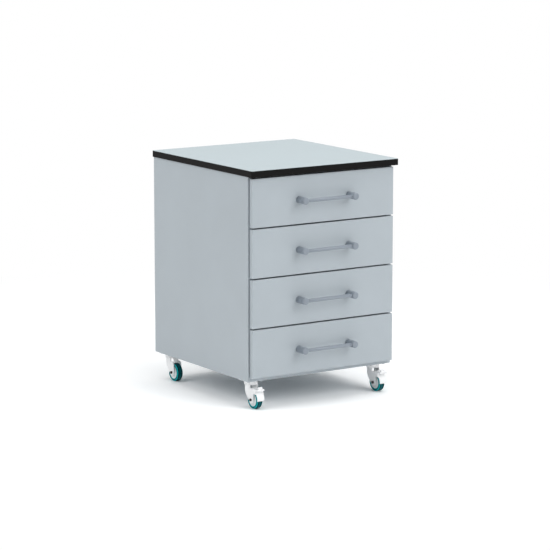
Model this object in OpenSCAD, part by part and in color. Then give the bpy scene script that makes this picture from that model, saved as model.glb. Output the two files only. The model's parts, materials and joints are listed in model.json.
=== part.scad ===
// Mobile drawer cabinet for a laboratory bench: a board carcass with a worktop, four drawers
// on ball slides and four swivel casters, the front two of them with a foot brake.
// Millimetres, +Z up, drawers open towards -Y. The origin is on the floor, under the middle
// of the cabinet's outline with its handles.

/* [Carcass] */
// Width over the side panels
body_w = 462; // [420:1:600]
// Depth of the side panels, front edge to rear edge
body_d = 484; // [470:1:600]
// Height of the carcass, without worktop and casters
body_h = 550; // [520:1:640]
// Thickness of the side panels, bottom panel and top rails
board_t = 16; // [15:0.5:19]
// Thickness of the back panel
back_t = 8; // [5:0.5:10]
// Distance from the rear edge in to the back panel
back_inset = 10; // [6:1:14]
// Depth of the grooves that hold the back panel
groove_depth = 6; // [4:0.5:8]
// Depth of each top rail, front to rear
rail_d = 80; // [60:1:120]

/* [Worktop] */
// Thickness of the worktop board with its black edging
worktop_t = 17; // [15:0.5:25]
// Thickness of the laminate sheet on the worktop board
laminate_t = 1; // [0.6:0.1:1.5]
// How far the worktop stands out past each side panel
side_overhang = 4; // [0:0.5:15]
// How far the worktop stands out past the front edges of the side panels
front_overhang = 26; // [18:1:40]

/* [Drawer fronts] */
// Thickness of a drawer front
front_t = 13; // [12:0.5:18]
// Gap between a closed drawer front and the carcass
front_gap = 2.4; // [1:0.1:3]
// How far a drawer front stops short of the carcass side
front_inset = 4.5; // [1:0.5:8]
// Gap between two drawer fronts
row_gap = 4; // [2:0.1:6]
// Gap between the worktop and the top drawer front
top_reveal = 5; // [3:0.5:12]
// Height of the carcass edge that shows under the lowest drawer front
bottom_reveal = 10.8; // [4:0.1:14]

/* [Handles] */
// Distance between the two posts of a handle
handle_pitch = 160; // [96:32:224]
// Diameter of a handle post
post_dia = 19; // [14:0.5:24]
// Length of a handle post, out from the drawer front
post_len = 36; // [28:1:50]
// Width of the chamfer around a post's outer end
post_chamfer = 1.2; // [0.5:0.1:2]
// Diameter of the rod between the posts
rod_dia = 10; // [8:0.5:12]
// Distance from the posts' outer ends back to the rod's axis
rod_setback = 8; // [7:0.5:12]
// Depth of the rod's seat in each post
rod_seat = 5; // [3:0.5:7]

/* [Drawer trays] */
// Wall and floor thickness of a tray
tray_wall = 4; // [3:0.5:6]
// Gap between the top tray's rim and the top rails
tray_top_gap = 3.5; // [2:0.5:20]
// Depth of a tray, front to rear
tray_d = 440; // [400:1:450]
// Height of a tray's floor over the lower edge of its drawer front
tray_rise = 14; // [13:0.5:18]
// Outer radius of a tray's upright corners
tray_corner = 10; // [8:1:20]

/* [Drawer slides] */
// Length of a slide
slide_len = 440; // [390:5:445]
// Height of a slide's cabinet member
slide_h = 45; // [40:1:50]
// Space between side panel and tray, filled by a slide
slide_w = 13; // [12.5:0.1:15]
// Sheet thickness of the slide members
slide_sheet = 1.2; // [1:0.1:1.5]
// Height of a slide's lower edge over the tray's underside
slide_rise = 22; // [15:1:30]
// Ball track gap between two slide members
track_gap = 1.6; // [1.2:0.1:2]

/* [Casters] */
// Overall height of a caster
caster_h = 77.5; // [74:0.5:88]
// Diameter of a wheel
wheel_dia = 50; // [48:0.5:52]
// Width of the tyre
tyre_w = 18; // [16:0.5:20]
// Thickness of the tyre
tyre_t = 7; // [5:0.5:9]
// Distance from the swivel axis forward to the axle
trail = 21; // [18:0.5:28]
// Distance from the carcass side to a swivel axis
caster_in_x = 32; // [30:1:60]
// Distance from the carcass front or rear edge to a swivel axis
caster_in_y = 36.5; // [30:0.5:60]
// Side of the square top plate
plate_w = 54; // [54:1:58]
// Thickness of the top plate
plate_t = 2.5; // [2:0.5:4]
// Distance between two screws along one side of the top plate
plate_pitch = 40; // [38:1:42]
// Diameter of the swivel head
head_dia = 36; // [30:1:38]
// Thickness of a fork leg
leg_t = 2.8; // [2:0.1:3.5]
// Diameter of the axle
axle_dia = 6; // [5:0.5:8]

/* [Foot brake] */
// Thickness of the guard in front of the wheel
guard_t = 2; // [1.5:0.1:2.2]
// Gap between the tyre and the guard
guard_gap = 3; // [2:0.1:3.4]
// Width of the pedal's tread
pedal_w = 22; // [18:0.5:24]
// Width of the raised tab on the pedal
tab_w = 12; // [8:0.5:14]

/* [Hidden] */
$fn = 64;
drawers = [1, 2, 3, 4];
corners = ["front_left", "front_right", "rear_left", "rear_right"];
brake_corners = ["front_left", "front_right"];
drawer_parts = ["front", "tray", "handle_posts", "handle_rod", "slide_members", "slide_runners",
                "screws"];
caster_parts = ["plate", "fork", "axle", "hub", "tyre"];

// Colours, red, green and blue from 0 to 1
panel_grey = [0.66, 0.70, 0.74];
top_blue = [0.76, 0.81, 0.84];
edge_black = [0.10, 0.10, 0.11];
handle_grey = [0.55, 0.59, 0.63];
zinc = [0.75, 0.76, 0.77];
tray_white = [0.85, 0.87, 0.88];
fork_white = [0.93, 0.94, 0.95];
hub_grey = [0.82, 0.84, 0.85];
tyre_teal = [0.02, 0.36, 0.38];
axle_black = [0.05, 0.05, 0.06];

// Clearances
fit = 0.05;          // a screw, rod or pin in its hole, on the radius
bearing_fit = 0.06;  // a turning pin in its hole, on the radius
panel_fit = 0.2;     // the back panel in its grooves, each side
tip_gap = 0.5;       // a screw's tip to the end of its hole
sunk_gap = 0.2;      // a sunk screw head below the face around it
sunk_fit = 0.3;      // a sunk screw head in its recess, on the radius
eps = 0.01;          // overlap of a cutting solid past the face that it cuts

// Levels and edges
floor_z = caster_h;
body_top = floor_z + body_h;
handle_reach = front_gap + front_t + post_len;
y_edge = -(body_d - handle_reach) / 2;   // front edges of the side panels
y_back = y_edge + body_d;                // rear edges of the side panels
y_front = y_edge - front_gap - front_t;  // outer faces of the drawer fronts
inner_w = body_w - 2 * board_t;
worktop_corner = 1.5;                    // radius of the worktop's upright corners
back_y = y_back - back_inset - back_t;   // front face of the back panel
rail_z = body_top - board_t;

// Drawer fronts: the rows share what the reveals and gaps leave
front_w = body_w - 2 * front_inset;
rows = len(drawers);
front_h = (body_h - top_reveal - bottom_reveal - (rows - 1) * row_gap) / rows;
function front_z(n) = body_top - top_reveal - n * front_h - (n - 1) * row_gap;
function front_mid(n) = front_z(n) + front_h / 2;

// Trays and slides: each row's tray keeps the top tray's gap to what is over it
tray_w = inner_w - 2 * slide_w;
tray_h = front_h + top_reveal - board_t - tray_top_gap - tray_rise;
tray_y = y_edge - front_gap;
function tray_z(n) = front_z(n) + tray_rise;
slide_back = 2;                // front edges of the side panels to a slide's front end
slide_y = y_edge + slide_back;
function slide_z(n) = tray_z(n) + slide_rise;
middle_h = slide_h - 2 * (slide_sheet + track_gap);
drawer_h = middle_h - 2 * (slide_sheet + track_gap);
runner_gap = 2;                // cabinet member's web to the runner's web
middle_x = slide_sheet + runner_gap;
flange_end = 11;               // reach of the outer two members' flanges
drawer_flange = 6;             // reach of the drawer member's flanges

// Screws: [shank radius, head radius, head height]
slide_screw = [1.75, 3.2, 1.2];
slide_screw_len = 10;
slide_screw_in = 35;           // end of a slide or tray to the nearest screw
cabinet_screw_ends = [slide_screw_in, slide_len - slide_screw_in];
tray_screw_ends = [slide_screw_in, min(slide_len, tray_d) - slide_screw_in];
tray_screw_bite = 2.5;         // depth of a slide screw in the tray
tray_screw_len = slide_sheet + tray_screw_bite;
top_screw = [2, 4, 2.4];
top_screw_bite = 9.6;          // depth of a worktop screw in the worktop board
top_screw_in = 50;             // side panel to the nearest worktop screw
top_screw_len = board_t - top_screw[2] - sunk_gap + top_screw_bite;
caster_screw = [2.5, 4.6, 2.6];
groove_skin = 0.3;             // board between a caster screw's hole and the back panel's groove
caster_screw_len = plate_t + board_t - groove_depth - panel_fit - groove_skin - tip_gap;
front_screw = [2, 4, 2.2];
front_screw_bite = 9;          // depth of a front screw in the drawer front
front_screw_len = tray_wall + front_screw_bite;
front_screw_side = 40;         // tray's side to the nearest front screw
front_screw_edge = 18;         // tray's underside or rim to the nearest front screw
handle_screw = [2, 3.8, 2.6];
handle_screw_bite = 10;        // depth of a handle screw in its post
handle_screw_len = front_t + handle_screw_bite;
handle_head_fit = 1.2;         // handle screw's head in the tray wall's hole, on the radius

// Caster, seen from its own frame: swivel axis at x = y = 0, floor at z = 0, wheel at -Y
wheel_r = wheel_dia / 2;
rim_r = wheel_r - tyre_t;
hub_proud = 0.8;                   // hub's boss past the tyre's side
hub_w = tyre_w + 2 * hub_proud;
hub_sunk = 1;                      // hub's disc below its rim
hub_rim = 2.6;                     // thickness of the hub's rim
hub_boss = 3.4;                    // wall of the hub's boss
tyre_bevel = 2.2;                  // bevel between the tyre's tread and its sides
tyre_lip = 0.8;                    // bevel between the tyre's sides and the hub's rim
hub_web = tyre_w - 2 * (tyre_lip + hub_sunk);   // thickness of the hub's disc
leg_gap = 0.5;                     // hub's boss to a fork leg
leg_in = hub_w / 2 + leg_gap;
leg_out = leg_in + leg_t;
head_r = head_dia / 2;
head_h = 11.2;                     // height of the swivel head
head_gap = 0.3;                    // top plate to the head that turns under it
head_top = caster_h - plate_t - head_gap;
head_low = head_top - head_h;
leg_root = 1;                      // how far the legs run up into the head
leg_rise = 30.4;                   // axle to the upper edges of the legs
leg_top = wheel_r + leg_rise;
leg_back = 0.52 * head_r;          // rear edge of a leg under the head
neck_front = -0.8 * head_r;        // front edge of a leg under the head
lobe_r = 9.5;                      // round end of a leg around the axle
leg_front = -trail - lobe_r;
plate_corner = 5;
kingpin_r = 4;
washer_r = 7;
washer_t = 2.4;
washer_fit = 1;                    // washer in the head's counterbore, on the radius
washer_gap = 1.8;                  // washer to the floor of the counterbore
washer_z = head_low + 1;           // underside of the washer
axle_r = axle_dia / 2;
axle_end = 4.4;                    // how far the axle stands out past a leg
axle_half = leg_out + axle_end;
cap_wall = 0.6;                    // wall of the caps on the axle's ends
guard_in = wheel_r + guard_gap;
guard_out = guard_in + guard_t;
guard_lap = 0.7;                   // how far the guard runs into the legs' plates
guard_half = leg_in + guard_lap;
hood_low = 20.4;                   // axle to the lower edges of the hood's cheeks
cheek_t = 2.6;                     // thickness of the hood's cheeks beside the pedal
cheek_in = guard_half - cheek_t;
cheek_low = 17.5;                  // axle to the lower edges of the legs' cheeks
cheek_reach = 20;                  // axle to the cheeks' front edges
cheek_front = -trail - cheek_reach;
pivot_reach = 13;                  // axle to the pedal's pivot, along and down
pivot_drop = 3;
pivot_y = -trail - pivot_reach;
pivot_z = leg_top - pivot_drop;
pivot_r = 2.6;
pivot_room = 1.6;                  // pedal's round end to the hood behind it
trunnion_r = 1.6;
trunnion_in = 0.3;                 // trunnion's end to the leg's cheek
trunnion_half = leg_in - trunnion_in;
shoe_gap = 1.7;                    // tyre to brake shoe with the pedal up
shoe_in = 2;                       // pivot to the shoe's rear face
shoe_l = 4.2;                      // length of the web that carries the shoe
shoe_r = 10;                       // pivot to the shoe's lower end
pedal_gap = 0.4;                   // pedal to the edges of the guard's slot
pedal_half = cheek_in - pedal_gap;
tread_half = pedal_w / 2;
lip_reach = 27.5;                  // axle to the lip's middle
lip_rise = 2;                      // pivot to the lip's middle
lip_y = -trail - lip_reach;
lip_z = pivot_z + lip_rise;
lip_r = 2.3;
lip_gap = 1.2;                     // tread's rear edge to the cheeks
tread_t = 3.3;
tab_back = 0.5;                    // lip's middle to the tab's front face
tab_t = 4.5;
tab_h = 5.8;                       // tab over the tread

function corner_x(c) = (c == "front_left" || c == "rear_left" ? -1 : 1)
    * (body_w / 2 - caster_in_x);
function corner_y(c) = c == "front_left" || c == "front_right"
    ? y_edge + caster_in_y : y_back - caster_in_y;
function has_brake(c) = c == "front_left" || c == "front_right";

// Points of a quadratic curve from a to c, drawn towards b
function curve(a, b, c, steps) =
    [for (i = [0:steps]) let (t = i / steps) (1-t)*(1-t)*a + 2*t*(1-t)*b + t*t*c];

// ---- Shared shapes ----

// A box from its lowest corner to its highest corner
module block(low, high) {
    translate(low) cube(high - low);
}

// A rod or bore along X between two x values
module x_rod(x0, x1, r) {
    translate([x0, 0, 0]) rotate([0, 90, 0]) cylinder(h = x1 - x0, r = r);
}

// A flat rectangle with round corners, its middle at the origin
module round_rect(w, d, r) {
    square([w, d - 2 * r], center = true);
    square([w - 2 * r, d], center = true);
    for (x = [-1, 1], y = [-1, 1])
        translate([x * (w / 2 - r), y * (d / 2 - r)]) circle(r = r);
}

// A screw with a pan head; the head's underside is at z = 0 and the shank points up
module screw(size, len) {
    cylinder(h = len, r = size[0], $fn = 24);
    translate([0, 0, -size[2]]) difference() {
        cylinder(h = size[2], r = size[1], $fn = 32);
        translate([0, 0, -eps]) cylinder(h = size[2] / 2, r = size[0] * 0.8, $fn = 6);
    }
}

// The hole for a screw's shank
module screw_hole(size, len) {
    translate([0, 0, -eps]) cylinder(h = len + tip_gap + eps, r = size[0] + fit, $fn = 24);
}

// ---- Carcass ----

// Places children at the caster screws of all four casters
module at_caster_screws() {
    for (c = corners, x = [-1, 1], y = [-1, 1])
        translate([corner_x(c) + x * plate_pitch / 2, corner_y(c) + y * plate_pitch / 2,
                   floor_z - plate_t])
            children();
}

// Places children at the worktop screws, under their sunk heads' shoulders in the top rails
module at_top_screws() {
    for (x = [-1, 0, 1], y = [y_edge + rail_d / 2, back_y - rail_d / 2])
        translate([x * (inner_w / 2 - top_screw_in), y, rail_z + top_screw[2] + sunk_gap])
            children();
}

// Places children at the cabinet slide screws, shank into the side panel
module at_slide_screws() {
    for (n = drawers, s = [0, 1], at = cabinet_screw_ends)
        mirror([s, 0, 0])
            translate([inner_w / 2 - slide_sheet, slide_y + at, slide_z(n) + slide_h / 2])
                rotate([0, 90, 0]) children();
}

module worktop_outline() {
    translate([0, (y_edge - front_overhang + y_back) / 2])
        round_rect(body_w + 2 * side_overhang, body_d + front_overhang, worktop_corner);
}

module worktop_board() {
    color(edge_black) difference() {
        translate([0, 0, body_top]) linear_extrude(worktop_t) worktop_outline();
        at_top_screws() screw_hole(top_screw, top_screw_len);
    }
}

module worktop_laminate() {
    color(top_blue)
        translate([0, 0, body_top + worktop_t]) linear_extrude(laminate_t) worktop_outline();
}

// The groove for the back panel, cut into the boards around it
module back_groove() {
    half = inner_w / 2 + groove_depth + panel_fit;
    block([-half, back_y - panel_fit, floor_z + board_t - groove_depth - panel_fit],
          [half, back_y + back_t + panel_fit, body_top + eps]);
}

module side_panel(side) {
    color(panel_grey) difference() {
        mirror([side > 0 ? 0 : 1, 0, 0])
            block([inner_w / 2, y_edge, floor_z], [body_w / 2, y_back, body_top]);
        back_groove();
        at_caster_screws() screw_hole(caster_screw, caster_screw_len);
        at_slide_screws() screw_hole(slide_screw, slide_screw_len);
    }
}

module bottom_panel() {
    color(panel_grey) difference() {
        block([-inner_w / 2, y_edge, floor_z], [inner_w / 2, y_back, floor_z + board_t]);
        back_groove();
        at_caster_screws() screw_hole(caster_screw, caster_screw_len);
    }
}

module back_panel() {
    half = inner_w / 2 + groove_depth;
    color(panel_grey)
        block([-half, back_y, floor_z + board_t - groove_depth],
              [half, back_y + back_t, body_top]);
}

module top_rails() {
    color(panel_grey) difference() {
        for (y = [y_edge, back_y - rail_d])
            block([-inner_w / 2, y, rail_z], [inner_w / 2, y + rail_d, body_top]);
        at_top_screws() {
            screw_hole(top_screw, top_screw_len);
            translate([0, 0, -top_screw[2] - sunk_gap - eps])
                cylinder(h = top_screw[2] + sunk_gap + eps, r = top_screw[1] + sunk_fit);
        }
    }
}

module cabinet_screws() {
    color(zinc) {
        at_top_screws() screw(top_screw, top_screw_len);
        at_caster_screws() screw(caster_screw, caster_screw_len);
        at_slide_screws() screw(slide_screw, slide_screw_len);
    }
}

// ---- Drawer slides ----

// A slide member's section in a C: its web's back at x = 0, its flanges towards +X
module channel(h, reach) {
    difference() {
        square([reach, h]);
        translate([slide_sheet, slide_sheet])
            square([reach, h - 2 * slide_sheet]);
    }
}

// One slide member on the right side of row n; from_panel counts from the side panel inwards
module slide_member(n, h, from_panel, reach, towards_tray) {
    x = inner_w / 2 - from_panel;
    translate([x, slide_y + slide_len, slide_z(n) + (slide_h - h) / 2])
        rotate([90, 0, 0]) linear_extrude(slide_len)
            mirror([towards_tray ? 1 : 0, 0]) channel(h, reach);
}

module cabinet_slide_members() {
    color(zinc) difference() {
        for (n = drawers, s = [0, 1])
            mirror([s, 0, 0]) slide_member(n, slide_h, 0, flange_end, true);
        at_slide_screws() screw_hole(slide_screw, slide_screw_len);
    }
}

module drawer_slide_runners(n) {
    color(zinc)
        for (s = [0, 1])
            mirror([s, 0, 0])
                slide_member(n, middle_h, middle_x, flange_end - middle_x, true);
}

// Places children at a drawer's slide screws, head in the drawer member, shank into the tray
module at_tray_screws(n) {
    for (s = [0, 1], at = tray_screw_ends)
        mirror([s, 0, 0])
            translate([tray_w / 2 + slide_sheet, slide_y + at, slide_z(n) + slide_h / 2])
                rotate([0, -90, 0]) children();
}

module drawer_slide_members(n) {
    color(zinc) difference() {
        for (s = [0, 1])
            mirror([s, 0, 0]) slide_member(n, drawer_h, slide_w, drawer_flange, false);
        at_tray_screws(n) screw_hole(slide_screw, tray_screw_len);
    }
}

// ---- Drawers ----

// Places children at a drawer's front screws, head inside the tray, shank towards -Y
module at_front_screws(n) {
    for (x = [-1, 1], z = [front_screw_edge, tray_h - front_screw_edge])
        translate([x * (tray_w / 2 - front_screw_side), tray_y + tray_wall, tray_z(n) + z])
            rotate([90, 0, 0]) children();
}

// Places children at a drawer's handle screws, on the back of the front
module at_handle_screws(n) {
    for (x = [-1, 1])
        translate([x * handle_pitch / 2, y_front + front_t, front_mid(n)])
            rotate([90, 0, 0]) children();
}

module drawer_front(n) {
    color(panel_grey) difference() {
        block([-front_w / 2, y_front, front_z(n)],
              [front_w / 2, y_front + front_t, front_z(n) + front_h]);
        at_front_screws(n) screw_hole(front_screw, front_screw_len);
        at_handle_screws(n) screw_hole(handle_screw, handle_screw_len);
    }
}

module drawer_tray(n) {
    mid_y = tray_y + tray_d / 2;
    color(tray_white) difference() {
        translate([0, mid_y, tray_z(n)]) linear_extrude(tray_h)
            round_rect(tray_w, tray_d, tray_corner);
        translate([0, mid_y, tray_z(n) + tray_wall]) linear_extrude(tray_h)
            round_rect(tray_w - 2 * tray_wall, tray_d - 2 * tray_wall, tray_corner - tray_wall);
        at_front_screws(n) screw_hole(front_screw, front_screw_len);
        at_tray_screws(n) screw_hole(slide_screw, slide_sheet + tray_wall);
        at_handle_screws(n)
            translate([0, 0, -tray_wall - eps])
                cylinder(h = tray_wall + 2 * eps, r = handle_screw[1] + handle_head_fit);
    }
}

// A handle post standing on a drawer front, with a seat for the rod and a threaded hole
module handle_post(side) {
    difference() {
        union() {
            rotate([90, 0, 0]) cylinder(h = post_len - post_chamfer, r = post_dia / 2);
            translate([0, -post_len + post_chamfer, 0]) rotate([90, 0, 0])
                cylinder(h = post_chamfer, r1 = post_dia / 2, r2 = post_dia / 2 - post_chamfer);
        }
        translate([0, -post_len + rod_setback, 0])
            mirror([side > 0 ? 1 : 0, 0, 0])
                x_rod(post_dia / 2 - rod_seat, post_dia, rod_dia / 2 + fit);
        rotate([90, 0, 0])
            screw_hole(handle_screw, handle_screw_bite);
    }
}

module drawer_handle_posts(n) {
    color(handle_grey)
        for (side = [-1, 1])
            translate([side * handle_pitch / 2, y_front, front_mid(n)]) handle_post(side);
}

module drawer_handle_rod(n) {
    half = handle_pitch / 2 - post_dia / 2 + rod_seat - fit;
    color(handle_grey)
        translate([0, y_front - post_len + rod_setback, front_mid(n)])
            x_rod(-half, half, rod_dia / 2);
}

module drawer_screws(n) {
    color(zinc) {
        at_front_screws(n) screw(front_screw, front_screw_len);
        at_handle_screws(n) screw(handle_screw, handle_screw_len);
        at_tray_screws(n) screw(slide_screw, tray_screw_len);
    }
}

// ---- Casters ----

// Places children at a caster's swivel axis, on the floor
module at_corner(c) {
    translate([corner_x(c), corner_y(c), 0]) children();
}

module caster_plate(c) {
    color(fork_white) at_corner(c) {
        difference() {
            translate([0, 0, caster_h - plate_t]) linear_extrude(plate_t)
                round_rect(plate_w, plate_w, plate_corner);
            for (x = [-1, 1], y = [-1, 1])
                translate([x * plate_pitch / 2, y * plate_pitch / 2, caster_h - plate_t])
                    screw_hole(caster_screw, plate_t);
        }
        // Kingpin, riveted into the plate, and the washer that carries the head
        translate([0, 0, washer_z])
            cylinder(h = caster_h - plate_t - washer_z + eps, r = kingpin_r);
        translate([0, 0, washer_z]) cylinder(h = washer_t, r = washer_r);
    }
}

// Outline of a fork leg from the side: x is the caster's y, y is its height
module leg_outline() {
    translate([-trail, wheel_r]) circle(r = lobe_r);
    polygon(concat(
        [[neck_front, head_low + leg_root], [leg_back, head_low + leg_root]],
        curve([leg_back, leg_top - 0.63 * lobe_r], [leg_back - 0.1 * lobe_r, leg_top - 1.9 * lobe_r],
              [-trail + 0.57 * lobe_r, wheel_r - 0.82 * lobe_r], 8),
        [[-trail, wheel_r]],
        [[leg_front, wheel_r]],
        curve([leg_front, wheel_r + 0.84 * lobe_r], [leg_front - 0.1 * lobe_r, leg_top - 0.84 * lobe_r],
              [leg_front + 0.32 * lobe_r, leg_top], 6),
        [[neck_front, leg_top]]));
}

// The hood and guard that a braked fork has over and in front of its wheel, from the side
module hood_outline() {
    intersection() {
        translate([-trail, wheel_r]) circle(r = guard_out);
        translate([-trail - guard_out, wheel_r]) square([guard_out, guard_out]);
    }
    translate([cheek_front, wheel_r + hood_low])
        square([neck_front - cheek_front, leg_rise - hood_low]);
}

// The cheek that a braked fork's leg has beside the top of the wheel
module cheek_outline() {
    intersection() {
        hood_outline();
        translate([-trail - guard_out, wheel_r + cheek_low]) square([guard_out, leg_rise]);
    }
}

module fork_leg(side, braked) {
    mirror([side > 0 ? 0 : 1, 0, 0])
        translate([leg_in, 0, 0]) rotate([90, 0, 90]) linear_extrude(leg_t) {
            leg_outline();
            if (braked) cheek_outline();
        }
}

// The pedal's slot in the guard: its lower end is round about the pivot, its front and top open
module slot_outline() {
    back = pivot_r + pivot_room;
    intersection() {
        translate([pivot_y, pivot_z]) circle(r = shoe_r + pedal_gap);
        translate([pivot_y + back - 2 * shoe_r, pivot_z - 2 * shoe_r]) square(2 * shoe_r);
    }
    translate([pivot_y + back - guard_out, pivot_z - eps])
        square([guard_out, leg_top - pivot_z + 2 * eps]);
}

module brake_guard() {
    difference() {
        translate([-guard_half, 0, 0]) rotate([90, 0, 90]) linear_extrude(2 * guard_half)
            difference() {
                hood_outline();
                translate([-trail, wheel_r]) circle(r = guard_in);
            }
        translate([-cheek_in, 0, 0]) rotate([90, 0, 90]) linear_extrude(2 * cheek_in)
            slot_outline();
        translate([0, pivot_y, pivot_z])
            x_rod(-leg_in - eps, leg_in + eps, trunnion_r + bearing_fit);
    }
}

module caster_fork(c) {
    color(fork_white) at_corner(c) difference() {
        union() {
            translate([0, 0, head_low]) cylinder(h = head_top - head_low, r = head_r);
            for (side = [-1, 1]) fork_leg(side, has_brake(c));
            if (has_brake(c)) brake_guard();
        }
        translate([0, -trail, wheel_r])
            x_rod(-leg_out - eps, leg_out + eps, axle_r + fit);
        translate([0, 0, head_low - eps])
            cylinder(h = head_h + 2 * eps, r = kingpin_r + bearing_fit);
        translate([0, 0, head_low - eps])
            cylinder(h = washer_z + washer_t + washer_gap - head_low + eps,
                     r = washer_r + washer_fit);
    }
}

module caster_axle(c) {
    color(axle_black) at_corner(c) translate([0, -trail, wheel_r]) {
        x_rod(-axle_half, axle_half, axle_r);
        for (side = [0, 1])
            mirror([side, 0, 0]) x_rod(leg_out, axle_half, axle_r + cap_wall);
    }
}

// Section of the wheel's hub and tyre: x is the radius, y is along the axle
module hub_section() {
    bore = axle_r + bearing_fit;
    boss = axle_r + hub_boss;
    translate([bore, -hub_w / 2]) square([boss - bore, hub_w]);
    translate([boss - eps, -hub_web / 2])
        square([rim_r - hub_rim - boss + 2 * eps, hub_web]);
    translate([rim_r - hub_rim, -tyre_w / 2 + tyre_lip]) square([hub_rim, tyre_w - 2 * tyre_lip]);
}

module tyre_section() {
    half = tyre_w / 2;
    b = tyre_bevel;
    lip = tyre_lip;
    polygon([[rim_r, -half + lip], [rim_r + lip, -half], [wheel_r - b, -half],
             [wheel_r, -half + b], [wheel_r, half - b], [wheel_r - b, half],
             [rim_r + lip, half], [rim_r, half - lip]]);
}

module wheel_turned(c) {
    at_corner(c) translate([0, -trail, wheel_r]) rotate([0, 90, 0])
        rotate_extrude($fn = 96) children();
}

module caster_hub(c) {
    color(hub_grey) wheel_turned(c) hub_section();
}

module caster_tyre(c) {
    color(tyre_teal) wheel_turned(c) tyre_section();
}

// The pedal from the side, without its trunnions and tab
module pedal_outline() {
    translate([pivot_y, pivot_z]) circle(r = pivot_r);
    translate([lip_y, lip_z]) circle(r = lip_r);
    polygon([[pivot_y, pivot_z + pivot_r], [pivot_y, pivot_z - 0.15 * pivot_r],
             [lip_y, lip_z + lip_r - tread_t], [lip_y, lip_z + lip_r]]);
    // Brake shoe: it follows the tyre inside and fills the guard's slot flush outside
    intersection() {
        translate([pivot_y, pivot_z]) circle(r = shoe_r);
        translate([pivot_y - shoe_in - shoe_r, pivot_z - shoe_r]) square(shoe_r);
        difference() {
            union() {
                translate([-trail, wheel_r]) circle(r = guard_out);
                translate([pivot_y - shoe_in - shoe_l, pivot_z - shoe_r]) square([shoe_l, shoe_r]);
            }
            translate([-trail, wheel_r]) circle(r = wheel_r + shoe_gap);
        }
    }
}

module caster_brake_pedal(c) {
    color(fork_white) at_corner(c) {
        translate([-pedal_half, 0, 0]) rotate([90, 0, 90])
            linear_extrude(2 * pedal_half) pedal_outline();
        translate([0, pivot_y, pivot_z])
            x_rod(-trunnion_half, trunnion_half, trunnion_r);
        // Tread lip, wider than the lever
        translate([0, lip_y, lip_z]) x_rod(-tread_half, tread_half, lip_r);
        block([-tread_half, lip_y, lip_z + lip_r - tread_t],
              [tread_half, cheek_front - lip_gap, lip_z + lip_r]);
        // Raised tab
        block([-tab_w / 2, lip_y + tab_back, lip_z],
              [tab_w / 2, lip_y + tab_back + tab_t, lip_z + lip_r + tab_h]);
    }
}

// ---- Nodes ----

worktop_board();
worktop_laminate();
side_panel(-1);  // side_panel_left
side_panel(1);  // side_panel_right
bottom_panel();
back_panel();
top_rails();
cabinet_slide_members();
cabinet_screws();
for (n = drawers) {
    name = str("drawer_", n, "_");
    drawer_front(n);
    drawer_tray(n);
    drawer_handle_posts(n);
    drawer_handle_rod(n);
    drawer_slide_members(n);
    drawer_slide_runners(n);
    drawer_screws(n);
}
for (c = corners) {
    name = str("caster_", c, "_");
    caster_plate(c);
    caster_fork(c);
    caster_axle(c);
    caster_hub(c);
    caster_tyre(c);
}
for (c = brake_corners)
    caster_brake_pedal(c);
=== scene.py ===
import json
import math

import bmesh
import bpy
from mathutils import Matrix, Vector


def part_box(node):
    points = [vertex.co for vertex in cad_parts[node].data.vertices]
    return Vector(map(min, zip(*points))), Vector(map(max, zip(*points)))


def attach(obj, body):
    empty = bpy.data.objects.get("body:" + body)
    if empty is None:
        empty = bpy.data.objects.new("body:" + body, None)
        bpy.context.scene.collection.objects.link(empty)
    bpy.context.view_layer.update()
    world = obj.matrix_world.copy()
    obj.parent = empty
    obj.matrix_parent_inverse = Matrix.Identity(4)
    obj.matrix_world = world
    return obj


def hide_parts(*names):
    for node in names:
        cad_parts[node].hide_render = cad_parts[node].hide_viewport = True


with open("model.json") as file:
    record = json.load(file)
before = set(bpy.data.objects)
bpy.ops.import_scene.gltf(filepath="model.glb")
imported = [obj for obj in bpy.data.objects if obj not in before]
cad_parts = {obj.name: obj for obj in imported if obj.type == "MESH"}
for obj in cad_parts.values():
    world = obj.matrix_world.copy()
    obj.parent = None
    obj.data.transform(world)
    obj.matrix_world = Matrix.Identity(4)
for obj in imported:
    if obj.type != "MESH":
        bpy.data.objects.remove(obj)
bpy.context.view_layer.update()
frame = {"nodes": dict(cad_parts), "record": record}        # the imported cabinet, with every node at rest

# ---- Camera and studio ----
# The cabinet is seen from its front left, a little from above, through a long lens. It stands
# on a plain white floor, under three large soft lamps: above it, at its front right and at its
# left side.

VIEWPOINT, LENS = (-3.8504, -5.9039, 1.5692), 170.3
LOOKS_DOWN, LOOKS_RIGHT = 10.112, 33.079          # degrees, from level and from straight at the fronts
camera_data = bpy.data.cameras.new("camera")
camera_data.lens = LENS
camera_data.clip_end = 200.0
camera = bpy.data.objects.new("camera", camera_data)
camera.location = VIEWPOINT
camera.rotation_euler = (math.radians(90 - LOOKS_DOWN), 0.0, math.radians(-LOOKS_RIGHT))
bpy.context.scene.collection.objects.link(camera)
bpy.context.scene.camera = camera
bpy.context.scene.view_settings.view_transform = "Standard"


def add(tree, kind, values=None, **settings):
    """Adds a node to a tree. values are its inputs, each a number, a colour or a socket to link."""
    node = tree.nodes.new(kind)
    for key, value in settings.items():
        setattr(node, key, value)
    for key, value in (values or {}).items():
        if isinstance(value, bpy.types.NodeSocket):
            tree.links.new(value, node.inputs[key])
        else:
            node.inputs[key].default_value = value
    return node


def seen_directly(tree):
    """1 where the camera, a reflection or a view through glass meets the surface, otherwise 0."""
    path = add(tree, "ShaderNodeLightPath")
    two = add(tree, "ShaderNodeMath", {0: path.outputs["Is Camera Ray"],
                                       1: path.outputs["Is Glossy Ray"]}, operation="ADD")
    three = add(tree, "ShaderNodeMath", {0: two.outputs[0],
                                         1: path.outputs["Is Transmission Ray"]},
                operation="ADD", use_clamp=True)
    return three.outputs[0]


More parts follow.
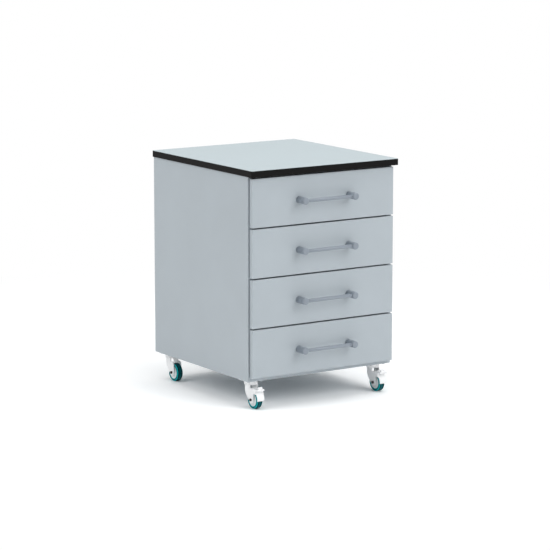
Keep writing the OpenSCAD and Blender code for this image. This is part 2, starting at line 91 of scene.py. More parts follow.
studio = bpy.data.worlds.new("studio")
studio.use_nodes = True
bpy.context.scene.world = studio
sky = studio.node_tree
sky.nodes.clear()
HORIZON_LIGHT, ZENITH_LIGHT = 0.20, 0.80
direction = add(sky, "ShaderNodeTexCoord").outputs["Generated"]
height = add(sky, "ShaderNodeSeparateXYZ", {0: direction}).outputs["Z"]
strength = add(sky, "ShaderNodeMapRange", {0: height, 3: HORIZON_LIGHT, 4: ZENITH_LIGHT})
soft_light = add(sky, "ShaderNodeBackground", {"Strength": strength.outputs[0]})
white_wall = add(sky, "ShaderNodeBackground", {"Strength": 1.0})
for light in (soft_light, white_wall):
    light.inputs["Color"].default_value = (1, 1, 1, 1)
seen_sky = add(sky, "ShaderNodeMixShader", {0: seen_directly(sky), 1: soft_light.outputs[0],
                                            2: white_wall.outputs[0]})
add(sky, "ShaderNodeOutputWorld", {"Surface": seen_sky.outputs[0]})


def area_lamp(name, place, aim, size, watts):
    """A square soft lamp that shines from place towards aim."""
    light = bpy.data.lights.new(name, "AREA")
    light.size = size
    light.energy = watts
    lamp = bpy.data.objects.new(name, light)
    lamp.location = place
    lamp.rotation_euler = (Vector(aim) - Vector(place)).to_track_quat("-Z", "Y").to_euler()
    bpy.context.scene.collection.objects.link(lamp)


area_lamp("lamp_above", (0.3, -0.3, 4.2), aim=(0.0, 0.0, 0.3), size=3.0, watts=53.0)
area_lamp("lamp_front", (1.7, -4.0, 3.0), aim=(0.0, 0.0, 0.35), size=2.8, watts=87.0)
area_lamp("lamp_side", (-3.7, 0.7, 3.2), aim=(0.0, 0.0, 0.35), size=2.4, watts=50.0)

# The floor takes the cabinet's shadow, and fades to pure white further out. Where it is seen, its
# paint is brighter, so that it is white right beside the shadow.
FLOOR_REACH, WHITE_FROM, WHITE_AT = 60.0, 0.7, 1.9
PAINT_TONE, PAINT_TONE_SEEN = (0.95, 0.955, 0.96, 1), (1.15, 1.16, 1.165, 1)
floor_mesh = bpy.data.meshes.new("floor")
floor_mesh.from_pydata([(x * FLOOR_REACH, y * FLOOR_REACH, 0.0)
                        for x, y in ((-1, -1), (1, -1), (1, 1), (-1, 1))], [], [(0, 1, 2, 3)])
floor = bpy.data.objects.new("floor", floor_mesh)
bpy.context.scene.collection.objects.link(floor)
floor_paint = bpy.data.materials.new("floor_paint")
floor_paint.use_nodes = True
paint = floor_paint.node_tree
paint.nodes.clear()
seen = seen_directly(paint)
tone = add(paint, "ShaderNodeMix", {0: seen, 6: PAINT_TONE, 7: PAINT_TONE_SEEN}, data_type="RGBA")
matt = add(paint, "ShaderNodeBsdfDiffuse", {"Color": tone.outputs[2]})
distance = add(paint, "ShaderNodeVectorMath",
               {0: add(paint, "ShaderNodeTexCoord").outputs["Object"]}, operation="LENGTH")
fade = add(paint, "ShaderNodeMapRange", {0: distance.outputs["Value"], 1: WHITE_FROM, 2: WHITE_AT},
           interpolation_type="SMOOTHSTEP")
white_share = add(paint, "ShaderNodeMath", {0: fade.outputs[0], 1: seen}, operation="MULTIPLY")
white = add(paint, "ShaderNodeEmission", {"Color": (1, 1, 1, 1), "Strength": 1.0})
both = add(paint, "ShaderNodeMixShader", {0: white_share.outputs[0], 1: matt.outputs[0],
                                          2: white.outputs[0]})
add(paint, "ShaderNodeOutputMaterial", {"Surface": both.outputs[0]})
floor_mesh.materials.append(floor_paint)

# ---- Carcass boards ----
# Two sides, a bottom, a back and two rails of grey-blue melamine-faced chipboard, each with a
# thin plastic band glued round its edges. The bottom, back and rails are cut to fit between
# the sides.

MM = 0.001
behaviour = frame["record"]["behaviour"]
body_of_node = {node: body for body, nodes in behaviour["bodies"].items() for node in nodes}


def tint(red, green, blue):
    """A colour written in the 0 to 255 of a screen, as the renderer's linear colour."""
    shares = [c / 255 for c in (red, green, blue)]
    return tuple(c / 12.92 if c <= 0.04045 else ((c + 0.055) / 1.055) ** 2.4
                 for c in shares) + (1.0,)


def shader_group(name, inputs, outputs):
    """An empty shader node group with named sockets, and its input and output nodes."""
    tree = bpy.data.node_groups.new(name, "ShaderNodeTree")
    for side, sockets in (("INPUT", inputs), ("OUTPUT", outputs)):
        for label, kind in sockets.items():
            tree.interface.new_socket(name=label, in_out=side, socket_type="NodeSocket" + kind)
    return tree, tree.nodes.new("NodeGroupInput").outputs, tree.nodes.new("NodeGroupOutput")


# Grain: fine speckle and broad, faint clouds of tone and gloss
grain, given, result = shader_group(
    "grain",
    {"Colour": "Color", "Spread": "Float", "Scale": "Float", "Roughness": "Float",
     "Gloss Spread": "Float"},
    {"Colour": "Color", "Roughness": "Float", "Height": "Float"})
place = add(grain, "ShaderNodeTexCoord").outputs["Object"]
CLOUD_SCALE, CLOUD_SHARE = 9.0, 0.55
speckle = add(grain, "ShaderNodeTexNoise", {"Vector": place, "Scale": given["Scale"], "Detail": 3.0})
cloud = add(grain, "ShaderNodeTexNoise", {"Vector": place, "Scale": CLOUD_SCALE, "Detail": 3.0})
blend = add(grain, "ShaderNodeMix", {0: CLOUD_SHARE, 2: speckle.outputs[0], 3: cloud.outputs[0]})
signed = add(grain, "ShaderNodeMath", {0: blend.outputs[0], 1: 0.5}, operation="SUBTRACT")
lift = add(grain, "ShaderNodeMath", {0: signed.outputs[0], 1: given["Spread"], 2: 1.0},
           operation="MULTIPLY_ADD")
toned = add(grain, "ShaderNodeHueSaturation", {"Value": lift.outputs[0], "Color": given["Colour"]})
gloss = add(grain, "ShaderNodeMath", {0: signed.outputs[0], 1: given["Gloss Spread"],
                                      2: given["Roughness"]}, operation="MULTIPLY_ADD")
grain.links.new(toned.outputs[0], result.inputs["Colour"])
grain.links.new(gloss.outputs[0], result.inputs["Roughness"])
grain.links.new(speckle.outputs[0], result.inputs["Height"])

# Edge wear: rounded edges rub a little lighter and smoother, in patches
edge_wear, given, result = shader_group(
    "edge_wear",
    {"Colour": "Color", "Roughness": "Float", "Worn Colour": "Color", "Amount": "Float",
     "Edge": "Float"},
    {"Colour": "Color", "Roughness": "Float"})
place = add(edge_wear, "ShaderNodeTexCoord").outputs["Object"]
PATCH_SCALE, PATCH_FROM, PATCH_FULL, RUBBED_SMOOTHER = 60.0, 0.35, 0.7, 0.12
patches = add(edge_wear, "ShaderNodeTexNoise", {"Vector": place, "Scale": PATCH_SCALE, "Detail": 4.0})
patch_share = add(edge_wear, "ShaderNodeMapRange", {0: patches.outputs[0], 1: PATCH_FROM,
                                                    2: PATCH_FULL})
edge_share = add(edge_wear, "ShaderNodeMath", {0: patch_share.outputs[0], 1: given["Edge"]},
                 operation="MULTIPLY")
worn_share = add(edge_wear, "ShaderNodeMath", {0: edge_share.outputs[0], 1: given["Amount"]},
                 operation="MULTIPLY")
worn = add(edge_wear, "ShaderNodeMix", {0: worn_share.outputs[0], 6: given["Colour"],
                                        7: given["Worn Colour"]}, data_type="RGBA")
rubbed = add(edge_wear, "ShaderNodeMath", {0: worn_share.outputs[0], 1: -RUBBED_SMOOTHER,
                                           2: given["Roughness"]}, operation="MULTIPLY_ADD")
edge_wear.links.new(worn.outputs[2], result.inputs["Colour"])
edge_wear.links.new(rubbed.outputs[0], result.inputs["Roughness"])


def finish(name, colour, worn_colour, roughness, spread, scale, bump, wear=0.5, gloss_spread=0.08,
           metallic=0.0, specular=0.5, coat=0.0, zones=None):
    """A surface finish: grain in tone, gloss and height, and wear along rounded edges.

    zones are (share, colour) stops along the mesh's "zone" attribute, on a piece of many colours.
    """
    material = bpy.data.materials.new(name)
    material.use_nodes = True
    tree = material.node_tree
    shader = tree.nodes["Principled BSDF"]
    shader.inputs["Metallic"].default_value = metallic
    shader.inputs["Specular IOR Level"].default_value = specular
    shader.inputs["Coat Weight"].default_value = coat
    if zones:
        zone = add(tree, "ShaderNodeAttribute", attribute_name="zone")
        ramp = add(tree, "ShaderNodeValToRGB", {0: zone.outputs["Fac"]})
        stops = ramp.color_ramp.elements
        for index, (share, stop_colour) in enumerate(zones):
            stop = stops[index] if index < 2 else stops.new(share)
            stop.position = share
            stop.color = stop_colour
        colour = ramp.outputs[0]
    surface = add(tree, "ShaderNodeGroup",
                  {"Colour": colour, "Spread": spread, "Scale": scale, "Roughness": roughness,
                   "Gloss Spread": gloss_spread}, node_tree=grain)
    edge = add(tree, "ShaderNodeAttribute", attribute_name="edge")
    rub = add(tree, "ShaderNodeGroup",
              {"Colour": surface.outputs["Colour"], "Roughness": surface.outputs["Roughness"],
               "Worn Colour": worn_colour, "Amount": wear, "Edge": edge.outputs["Fac"]},
              node_tree=edge_wear)
    relief = add(tree, "ShaderNodeBump", {"Strength": bump, "Distance": 0.0002,
                                          "Height": surface.outputs["Height"]})
    tree.links.new(rub.outputs["Colour"], shader.inputs["Base Color"])
    tree.links.new(rub.outputs["Roughness"], shader.inputs["Roughness"])
    tree.links.new(relief.outputs[0], shader.inputs["Normal"])
    return material


def settle(piece, *nodes):
    """The piece stands for these nodes: it takes their place and body, and the nodes are hidden."""
    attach(piece, body_of_node[nodes[0]])
    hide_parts(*nodes)


def piece_from(bm, name, material):
    """Turns a bmesh into an object at the origin with one material."""
    bmesh.ops.recalc_face_normals(bm, faces=bm.faces)
    mesh = bpy.data.meshes.new(name)
    bm.to_mesh(mesh)
    bm.free()
    mesh.materials.append(material)
    piece = bpy.data.objects.new(name, mesh)
    bpy.context.scene.collection.objects.link(piece)
    return piece


def plain_mesh(piece):
    """Makes the piece's modifiers part of its mesh."""
    shown = piece.evaluated_get(bpy.context.evaluated_depsgraph_get())
    finished = bpy.data.meshes.new_from_object(shown)
    finished.name = piece.name
    piece.modifiers.clear()
    piece.data = finished


def round_edges(bm, radius, steps, sharp=math.radians(30)):
    """Rounds every sharp edge, and marks the round faces in the "edge" attribute."""
    edges = [e for e in bm.edges if e.is_manifold and e.calc_face_angle(0.0) > sharp]
    made = bmesh.ops.bevel(bm, geom=edges, offset=radius, offset_type="OFFSET", segments=steps,
                           profile=0.5, affect="EDGES", clamp_overlap=False, material=-1)
    mark = bm.loops.layers.float.get("edge") or bm.loops.layers.float.new("edge")
    for face in made["faces"]:
        for loop in face.loops:
            loop[mark] = 1.0
    for face in bm.faces:
        face.smooth = True


def even_shading(piece):
    """Keeps flat faces flat beside rounded edges, then makes the piece a plain mesh."""
    weights = piece.modifiers.new("weights", "WEIGHTED_NORMAL")
    weights.keep_sharp = True
    weights.weight = 100
    plain_mesh(piece)


panel_grey = finish("panel_grey", tint(176, 185, 191), tint(198, 205, 209), roughness=0.42,
                    spread=0.16, scale=1300.0, bump=0.24, wear=0.4, gloss_spread=0.12)


def board(node, material, radius=0.8 * MM):
    """A board with softly rounded edges, cut to a node's box."""
    low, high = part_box(node)
    bm = bmesh.new()
    bmesh.ops.create_cube(bm, size=1.0)
    middle = (Vector(low) + Vector(high)) / 2
    size = Vector(high) - Vector(low)
    bmesh.ops.transform(bm, matrix=Matrix.Translation(middle) @ Matrix.Diagonal(size.to_4d()),
                        verts=bm.verts)
    round_edges(bm, radius, 3)
    piece = piece_from(bm, node + "_board", material)
    even_shading(piece)
    settle(piece, node)


for node in ("side_panel_left", "side_panel_right", "bottom_panel"):
    board(node, panel_grey)


def softened(node, material, radius, steps=2):
    """A copy of a node's shape with its edges rounded."""
    bm = bmesh.new()
    bm.from_mesh(frame["nodes"][node].data)
    bmesh.ops.remove_doubles(bm, verts=bm.verts, dist=0.002 * MM)
    bmesh.ops.dissolve_limit(bm, angle_limit=math.radians(1), verts=bm.verts, edges=bm.edges)
    round_edges(bm, radius, steps)
    piece = piece_from(bm, node + "_piece", material)
    even_shading(piece)
    settle(piece, node)


for node in ("back_panel", "top_rails"):
    softened(node, panel_grey, 0.5 * MM)

# ---- Worktop ----
# A board with black edging under a thin sheet of pale blue-grey laminate. It stands out over
# the sides and the drawer fronts, and screws hold it from below through the rails.

worktop_black = finish("worktop_black", tint(14, 13, 13), tint(44, 44, 45), roughness=0.55,
                       spread=0.25, scale=900.0, bump=0.15, wear=0.3, specular=0.1)
worktop_blue = finish("worktop_blue", tint(170, 184, 189), tint(208, 216, 219), roughness=0.40,
                      spread=0.14, scale=1600.0, bump=0.20, wear=0.8, gloss_spread=0.12)
softened("worktop_board", worktop_black, 0.5 * MM)
softened("worktop_laminate", worktop_blue, 0.3 * MM)

# ---- Drawer fronts ----
# Four equal boards like the carcass boards, each screwed to its tray from inside.

DRAWERS = (1, 2, 3, 4)
for n in DRAWERS:
    board(f"drawer_{n}_front", panel_grey)

# ---- Handles ----
# Each handle is a rod of satin grey aluminium, plugged into two turned posts that are screwed
# to the drawer front from behind.


def turned(profile, steps, closed=False):
    """A shape turned about Z: profile is a list of (radius, height), closed for a ring."""
    bm = bmesh.new()
    rings = []
    for radius, height in profile:
        if radius < 1e-7:
            rings.append([bm.verts.new((0.0, 0.0, height))] * steps)
        else:
            rings.append([bm.verts.new((radius * math.cos(turn), radius * math.sin(turn), height))
                          for turn in (k * math.tau / steps for k in range(steps))])
    pairs = list(zip(rings, rings[1:])) + ([(rings[-1], rings[0])] if closed else [])
    for below, above in pairs:
        for k in range(steps):
            corners = (below[k], below[(k + 1) % steps], above[(k + 1) % steps], above[k])
            face = [v for i, v in enumerate(corners) if v not in corners[:i]]
            if len(face) > 2:
                bm.faces.new(face)
    for face in bm.faces:
        face.smooth = True
    return bm


def set_out_tree():
    """Geometry Nodes that put a copy of a piece on every point, turned to the point's facing."""
    tree = bpy.data.node_groups.new("set_out", "GeometryNodeTree")
    sockets = {}
    for label, kind in (("Geometry", "Geometry"), ("Piece", "Object"), ("Material", "Material"),
                        ("Roll", "Float"), ("Seed", "Int")):
        sockets[label] = tree.interface.new_socket(name=label, in_out="INPUT",
                                                   socket_type="NodeSocket" + kind)
    tree.interface.new_socket(name="Geometry", in_out="OUTPUT", socket_type="NodeSocketGeometry")
    asked = tree.nodes.new("NodeGroupInput").outputs
    facing = add(tree, "GeometryNodeInputNamedAttribute", {"Name": "facing"},
                 data_type="FLOAT_VECTOR")
    aligned = add(tree, "FunctionNodeAlignRotationToVector",
                  {"Vector": facing.outputs[0]}, axis="Z")
    chance = add(tree, "FunctionNodeRandomValue", {2: 0.0, 3: asked["Roll"], 8: asked["Seed"]},
                 data_type="FLOAT")
    spin = add(tree, "FunctionNodeAxisAngleToRotation", {"Axis": (0, 0, 1), "Angle": chance.outputs[1]})
    rolled = add(tree, "FunctionNodeRotateRotation",
                 {"Rotation": aligned.outputs[0], "Rotate By": spin.outputs[0]},
                 rotation_space="LOCAL")
    source = add(tree, "GeometryNodeObjectInfo", {"Object": asked["Piece"]})
    copies = add(tree, "GeometryNodeInstanceOnPoints",
                 {"Points": asked["Geometry"], "Instance": source.outputs["Geometry"],
                  "Rotation": rolled.outputs[0]})
    real = add(tree, "GeometryNodeRealizeInstances", {"Geometry": copies.outputs[0]})
    dressed = add(tree, "GeometryNodeSetMaterial", {"Geometry": real.outputs[0],
                                                    "Material": asked["Material"]})
    out = add(tree, "NodeGroupOutput")
    tree.links.new(dressed.outputs[0], out.inputs[0])
    return tree, {label: socket.identifier for label, socket in sockets.items()}


set_out, set_out_ids = set_out_tree()


def copies_at(name, template, spots, material, roll=0.0, seed=1):
    """One mesh with a copy of the template at each spot, (place, facing), for one body."""
    mesh = bpy.data.meshes.new(name)
    mesh.from_pydata([place for place, _ in spots], [], [])
    facing = mesh.attributes.new("facing", "FLOAT_VECTOR", "POINT")
    for index, (_, direction) in enumerate(spots):
        facing.data[index].vector = direction
    piece = bpy.data.objects.new(name, mesh)
    bpy.context.scene.collection.objects.link(piece)
    modifier = piece.modifiers.new("set_out", "NODES")
    modifier.node_group = set_out
    modifier[set_out_ids["Piece"]] = template
    modifier[set_out_ids["Material"]] = material
    modifier[set_out_ids["Roll"]] = roll
    modifier[set_out_ids["Seed"]] = seed
    plain_mesh(piece)
    return piece


def middle_of(node):
    """The middle of a node's box."""
    low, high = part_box(node)
    return (Vector(low) + Vector(high)) / 2


handle_grey = finish("handle_grey", tint(138, 147, 157), tint(170, 178, 186), roughness=0.36,
                     spread=0.25, scale=1500.0, bump=0.25, wear=0.6, gloss_spread=0.14)
POST_R, POST_LEN, POST_CHAMFER = 9.5 * MM, 36 * MM, 1.2 * MM
SOFT = 0.25 * MM                  # rounding of the turned edges
post = piece_from(turned(
    [(0, 0), (POST_R - SOFT, 0), (POST_R, SOFT),
     (POST_R, POST_LEN - POST_CHAMFER - SOFT),
     (POST_R - 0.3 * SOFT, POST_LEN - POST_CHAMFER + 0.2 * SOFT),
     (POST_R - POST_CHAMFER + 0.3 * SOFT, POST_LEN - 0.4 * SOFT),
     (POST_R - POST_CHAMFER - 0.6 * SOFT, POST_LEN),
     (0, POST_LEN)], 72), "post_pattern", handle_grey)
post.data.set_sharp_from_angle(angle=math.radians(50))
for n in DRAWERS:
    low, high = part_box(f"drawer_{n}_handle_posts")
    z = (low[2] + high[2]) / 2
    spots = [((x, high[1], z), (0, -1, 0)) for x in (low[0] + POST_R, high[0] - POST_R)]
    posts = copies_at(f"drawer_{n}_handle_posts_turned", post, spots, handle_grey)
    settle(posts, f"drawer_{n}_handle_posts")

    low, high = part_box(f"drawer_{n}_handle_rod")
    radius, half = (high[2] - low[2]) / 2, (high[0] - low[0]) / 2
    rod_bm = turned([(0, -half), (radius - SOFT, -half), (radius, -half + SOFT),
                     (radius, half - SOFT), (radius - SOFT, half), (0, half)], 64)
    bmesh.ops.transform(rod_bm, verts=rod_bm.verts,
                        matrix=Matrix.Translation(middle_of(f"drawer_{n}_handle_rod"))
                        @ Matrix.Rotation(math.radians(90), 4, "Y"))
    rod = piece_from(rod_bm, f"drawer_{n}_handle_rod_turned", handle_grey)
    rod.data.set_sharp_from_angle(angle=math.radians(50))
    settle(rod, f"drawer_{n}_handle_rod")
bpy.data.objects.remove(post)

# ---- Drawer trays ----
# One-piece trays of matt light grey plastic, with round corners and a softly rounded rim. The
# drawer front is screwed on through the tray's front wall.

tray_white = finish("tray_white", tint(208, 211, 213), tint(224, 226, 227), roughness=0.55,
                    spread=0.08, scale=1100.0, bump=0.35, wear=0.3)
for n in DRAWERS:
    softened(f"drawer_{n}_tray", tray_white, 0.8 * MM, 3)

# ---- Drawer slides ----
# Rolled channels of zinc-plated steel: one on the cabinet, one on the tray and a runner
# between them that travels half as far as the drawer.

zinc = finish("zinc", tint(196, 200, 203), tint(226, 228, 230), roughness=0.34, spread=0.35,
              scale=420.0, bump=0.15, wear=0.6, gloss_spread=0.25, metallic=1.0)
softened("cabinet_slide_members", zinc, 0.35 * MM)
for n in DRAWERS:
    softened(f"drawer_{n}_slide_members", zinc, 0.35 * MM)
    softened(f"drawer_{n}_slide_runners", zinc, 0.35 * MM)

# ---- Screws ----
# Pan-head screws with a six-sided socket, zinc-plated. They hold the worktop, the slides, the
# casters, the trays' fronts and the handles.


def screw_pattern(name, shank_r, head_r, head_h, length, steps=24):
    """A pan-head screw: the underside of its head is at z = 0 and its shank points up."""
    flat, crown, deep = shank_r * 0.8, head_h, head_h / 2
    bm = turned([(0, length), (shank_r * 0.45, length), (shank_r, length - shank_r),
                 (shank_r, 0), (head_r - 0.1 * MM, 0), (head_r, -0.15 * MM),
                 (head_r * 0.99, -crown * 0.35), (head_r * 0.93, -crown * 0.65),
                 (head_r * 0.80, -crown * 0.90), (head_r * 0.62, -crown), (flat, -crown),
                 (flat, -crown + deep), (0, -crown + deep)], steps)
    for vert in bm.verts:
        x, y, z = vert.co
        radius = math.hypot(x, y)
        if abs(radius - flat) < 1e-7:
            side = math.radians(60)
            turn = math.atan2(y, x) % side - side / 2
            vert.co = Vector((x, y, 0)) * (math.cos(side / 2) / math.cos(turn)) + Vector((0, 0, z))
    pattern = piece_from(bm, name, zinc)
    pattern.data.set_sharp_from_angle(angle=math.radians(40))
    return pattern


def screws_at(name, pattern, spots, seed):
    """The screws of one kind on one body, each left at a turn of its own."""
    return copies_at(name, pattern, spots, zinc, roll=math.tau, seed=seed)


runner_boxes = {n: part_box(f"drawer_{n}_slide_runners") for n in DRAWERS}
slide_low, slide_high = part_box("cabinet_slide_members")
SHEET, SCREW_IN = 1.2 * MM, 35 * MM

# Worktop, slide and caster screws, all on the cabinet
top_screw = screw_pattern("top_screw_pattern", shank_r=2 * MM, head_r=4 * MM, head_h=2.4 * MM,
                          length=23 * MM)
slide_screw = screw_pattern("slide_screw_pattern", shank_r=1.75 * MM, head_r=3.2 * MM,
                            head_h=1.2 * MM, length=10 * MM)
caster_screw = screw_pattern("caster_screw_pattern", shank_r=2.5 * MM, head_r=4.6 * MM,
                             head_h=2.6 * MM, length=11.5 * MM)
rails_low, rails_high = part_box("top_rails")
RAIL_D, TOP_SCREW_IN, SUNK_HEAD = 80 * MM, 50 * MM, 2.6 * MM
top_spots = [((x, y, rails_low[2] + SUNK_HEAD), (0, 0, 1))
             for x in (rails_low[0] + TOP_SCREW_IN, 0.0, rails_high[0] - TOP_SCREW_IN)
             for y in (rails_low[1] + RAIL_D / 2, rails_high[1] - RAIL_D / 2)]
slide_spots = [((side * (slide_high[0] - SHEET), y, (low[2] + high[2]) / 2), (side, 0, 0))
               for low, high in runner_boxes.values() for side in (-1, 1)
               for y in (slide_low[1] + SCREW_IN, slide_high[1] - SCREW_IN)]
CORNERS = ("front_left", "front_right", "rear_left", "rear_right")
PLATE_T, PLATE_PITCH = 2.5 * MM, 40 * MM
caster_spots = []
for corner in CORNERS:
    low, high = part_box(f"caster_{corner}_plate")
    middle = (Vector(low) + Vector(high)) / 2
    caster_spots += [((middle.x + x * PLATE_PITCH / 2, middle.y + y * PLATE_PITCH / 2,
                       high[2] - PLATE_T), (0, 0, 1)) for x in (-1, 1) for y in (-1, 1)]
groups = [screws_at("top_screws", top_screw, top_spots, seed=3),
          screws_at("slide_screws", slide_screw, slide_spots, seed=4),
          screws_at("caster_screws", caster_screw, caster_spots, seed=5)]
settle(groups[0], "cabinet_screws")
for group in groups[1:]:
    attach(group, "cabinet")

# Front, handle and tray screws of each drawer
front_screw = screw_pattern("front_screw_pattern", shank_r=2 * MM, head_r=4 * MM,
                            head_h=2.2 * MM, length=13 * MM)
handle_screw = screw_pattern("handle_screw_pattern", shank_r=2 * MM, head_r=3.8 * MM,
                             head_h=2.6 * MM, length=23 * MM)
tray_screw = screw_pattern("tray_screw_pattern", shank_r=1.75 * MM, head_r=3.2 * MM,
                           head_h=1.2 * MM, length=3.7 * MM)
TRAY_WALL, FRONT_SCREW_SIDE, FRONT_SCREW_EDGE = 4 * MM, 40 * MM, 18 * MM
for n in DRAWERS:
    tray_low, tray_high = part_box(f"drawer_{n}_tray")
    front_low, front_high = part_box(f"drawer_{n}_front")
    post_low, post_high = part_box(f"drawer_{n}_handle_posts")
    z = (front_low[2] + front_high[2]) / 2
    member_low, member_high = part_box(f"drawer_{n}_slide_members")
    front_spots = [((x, tray_low[1] + TRAY_WALL, z_screw), (0, -1, 0))
                   for x in (tray_low[0] + FRONT_SCREW_SIDE, tray_high[0] - FRONT_SCREW_SIDE)
                   for z_screw in (tray_low[2] + FRONT_SCREW_EDGE, tray_high[2] - FRONT_SCREW_EDGE)]
    handle_spots = [((x, front_high[1], z), (0, -1, 0))
                    for x in (post_low[0] + POST_R, post_high[0] - POST_R)]
    tray_spots = [((side * (tray_high[0] + SHEET), y, (member_low[2] + member_high[2]) / 2),
                   (-side, 0, 0)) for side in (-1, 1)
                  for y in (member_low[1] + SCREW_IN, member_high[1] - SCREW_IN)]
    groups = [screws_at(f"drawer_{n}_front_screws", front_screw, front_spots, seed=n),
              screws_at(f"drawer_{n}_handle_screws", handle_screw, handle_spots, seed=10 + n),
              screws_at(f"drawer_{n}_tray_screws", tray_screw, tray_spots, seed=20 + n)]
    settle(groups[0], f"drawer_{n}_screws")
    for group in groups[1:]:
        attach(group, f"drawer_{n}")
for pattern in (top_screw, slide_screw, caster_screw, front_screw, handle_screw, tray_screw):
    bpy.data.objects.remove(pattern)

# ---- Casters ----
# A square plate with a riveted kingpin carries a fork, which turns on it, both of steel with a
# white powder coat. The wheel is a white hub with a dark teal rubber tyre, painted light teal on
# its side and shoulder as a painted highlight, on a black axle.

caster_white = finish("caster_white", tint(250, 251, 252), tint(253, 253, 253), roughness=0.32,
                      spread=0.06, scale=1100.0, bump=0.25, wear=0.4, coat=0.15)
axle_black = finish("axle_black", tint(12, 12, 13), tint(44, 44, 46), roughness=0.38, spread=0.2,
                    scale=1200.0, bump=0.08)
hub_white = finish("hub_white", tint(240, 242, 243), tint(248, 248, 249), roughness=0.42,
                   spread=0.03, scale=1300.0, bump=0.12)
tread_teal, band_teal = tint(0, 86, 92), tint(0, 46, 52)
# The light teal of the tyre's side rings and shoulder is a painted highlight.
side_highlight_teal, groove_teal = tint(4, 176, 182), tint(0, 58, 66)
tyre_teal = finish("tyre_teal", None, tint(10, 140, 148), roughness=0.45, spread=0.25,
                   scale=900.0, bump=0.30, wear=0.0, specular=0.12,
                   zones=[(0.0, tread_teal), (0.24, tread_teal), (0.26, band_teal), (0.49, band_teal),
                          (0.51, side_highlight_teal), (0.74, side_highlight_teal), (0.76, groove_teal),
                          (1.0, groove_teal)])


def across(bm, middle):
    """Turns a piece made about Z to lie on its axle, along X, with its middle in place."""
    bmesh.ops.transform(bm, verts=bm.verts, matrix=Matrix.Translation(middle)
                        @ Matrix.Rotation(math.radians(90), 4, "Y"))


def mirrored(half):
    """A closed section from its upper half, (radius, distance from the middle)."""
    return half + [(radius, -x) for radius, x in reversed(half)]


# Half sections of the wheel from its axle outwards, in millimetres, as (radius, distance from
# the wheel's middle). The hub has a boss, a sunk disc with a ring pressed in it, and a rim.
BORE_R, BOSS_R, RING_IN, RING_OUT, RIM_IN, RIM_R = 3.06, 6.4, 13.5, 14.3, 15.5, 18.0
BOSS_HALF, DISC_HALF, RING_HALF, RIM_HALF, BEVEL = 9.8, 7.2, 6.6, 8.2, 0.3
hub_half = [(BORE_R, BOSS_HALF - BEVEL), (BORE_R + 0.24, BOSS_HALF), (BOSS_R - BEVEL, BOSS_HALF),
            (BOSS_R, BOSS_HALF - BEVEL), (BOSS_R, DISC_HALF + 0.4), (BOSS_R + 0.4, DISC_HALF),
            (RING_IN - BEVEL, DISC_HALF), (RING_IN, RING_HALF), (RING_OUT, RING_HALF),
            (RING_OUT + BEVEL, DISC_HALF), (RIM_IN - BEVEL, DISC_HALF),
            (RIM_IN - 0.1, DISC_HALF + 0.2), (RIM_IN, RIM_HALF - BEVEL), (RIM_IN + BEVEL, RIM_HALF),
            (RIM_R - BEVEL, RIM_HALF), (RIM_R, RIM_HALF - BEVEL)]

# The tyre's side has two raised rings with a dark groove between them; the rings and the shoulder
# are painted light teal as a painted highlight. Its tread has a dark band at each edge. The third
# number of a point is its zone in the tyre's colours.
TYRE_R, GROOVE_IN, GROOVE_OUT, BEVEL_IN = 25.0, 19.8, 22.4, 23.1
SIDE_HALF, GROOVE_HALF, BEVEL_HALF, BAND_IN = 8.95, 8.35, 6.9, 3.6
TREAD, BAND, SIDE_HIGHLIGHT, GROOVE = 0.12, 0.38, 0.62, 0.88
tyre_half = [(RIM_R, 8.0, SIDE_HIGHLIGHT), (RIM_R + 0.3, 8.6, SIDE_HIGHLIGHT), (RIM_R + 0.8, SIDE_HALF, SIDE_HIGHLIGHT),
             (GROOVE_IN - 0.4, SIDE_HALF, SIDE_HIGHLIGHT), (GROOVE_IN, SIDE_HALF - 0.25, SIDE_HIGHLIGHT),
             (GROOVE_IN + 0.05, SIDE_HALF - 0.35, GROOVE), (GROOVE_IN + 0.3, GROOVE_HALF, GROOVE),
             (GROOVE_OUT - 0.4, GROOVE_HALF, GROOVE), (GROOVE_OUT - 0.05, SIDE_HALF - 0.35, GROOVE),
             (GROOVE_OUT, SIDE_HALF - 0.25, SIDE_HIGHLIGHT), (GROOVE_OUT + 0.4, SIDE_HALF, SIDE_HIGHLIGHT),
             (BEVEL_IN, SIDE_HALF - 0.15, SIDE_HIGHLIGHT), (TYRE_R - 0.4, BEVEL_HALF + 0.4, SIDE_HIGHLIGHT),
             (TYRE_R - 0.15, BEVEL_HALF, SIDE_HIGHLIGHT), (TYRE_R - 0.1, BEVEL_HALF - 0.1, BAND),
             (TYRE_R, BEVEL_HALF - 0.5, BAND), (TYRE_R, BAND_IN, BAND), (TYRE_R, BAND_IN - 0.1, TREAD)]
TYRE_STEPS = 96
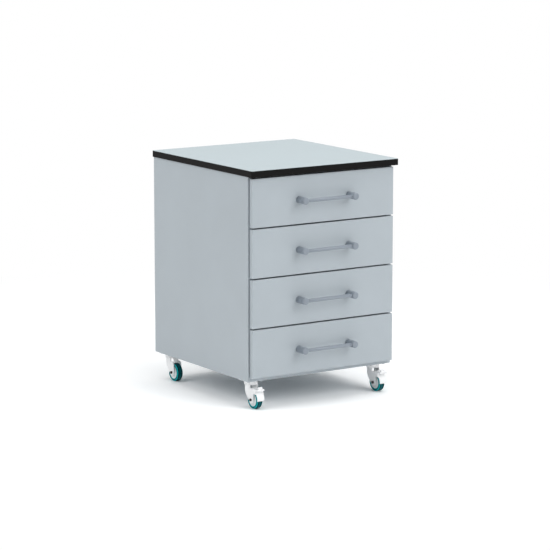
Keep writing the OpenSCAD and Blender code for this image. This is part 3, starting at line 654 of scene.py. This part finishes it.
LEG_OUT, AXLE_R, CAP_R, CAP_ROUND = 13.1 * MM, 3 * MM, 3.6 * MM, 0.7 * MM
for corner in CORNERS:
    axle_middle = middle_of(f"caster_{corner}_axle")
    softened(f"caster_{corner}_plate", caster_white, 0.4 * MM)
    softened(f"caster_{corner}_fork", caster_white, 0.5 * MM)

    low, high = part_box(f"caster_{corner}_axle")
    half = (high[0] - low[0]) / 2
    end = [(AXLE_R, LEG_OUT), (CAP_R, LEG_OUT), (CAP_R, half - CAP_ROUND),
           (CAP_R - 0.3 * CAP_ROUND, half - 0.3 * CAP_ROUND), (CAP_R - CAP_ROUND, half), (0, half)]
    axle_bm = turned([(radius, -x) for radius, x in reversed(end)] + end, 40)
    across(axle_bm, axle_middle)
    axle = piece_from(axle_bm, f"caster_{corner}_axle_turned", axle_black)
    axle.data.set_sharp_from_angle(angle=math.radians(40))
    settle(axle, f"caster_{corner}_axle")

    hub_bm = turned([(r * MM, x * MM) for r, x in mirrored(hub_half)], 80, closed=True)
    across(hub_bm, axle_middle)
    hub = piece_from(hub_bm, f"caster_{corner}_hub_turned", hub_white)
    hub.data.set_sharp_from_angle(angle=math.radians(50))
    settle(hub, f"caster_{corner}_hub")

    section = [(r * MM, x * MM) for r, x, _ in tyre_half]
    zones = [zone for _, _, zone in tyre_half]
    tyre_bm = turned(mirrored(section), TYRE_STEPS, closed=True)
    zone_layer = tyre_bm.verts.layers.float.new("zone")
    for index, vert in enumerate(tyre_bm.verts):
        vert[zone_layer] = (zones + zones[::-1])[index // TYRE_STEPS]
    across(tyre_bm, axle_middle)
    tyre = piece_from(tyre_bm, f"caster_{corner}_tyre_moulded", tyre_teal)
    tyre.data.set_sharp_from_angle(angle=math.radians(60))
    settle(tyre, f"caster_{corner}_tyre")

# ---- Foot brakes ----
# The front forks have a hood over the wheel, and a white lever that pivots in it. Its lip is
# stepped on to press the shoe on the tyre.

for corner in CORNERS[:2]:
    softened(f"caster_{corner}_brake_pedal", caster_white, 0.35 * MM)
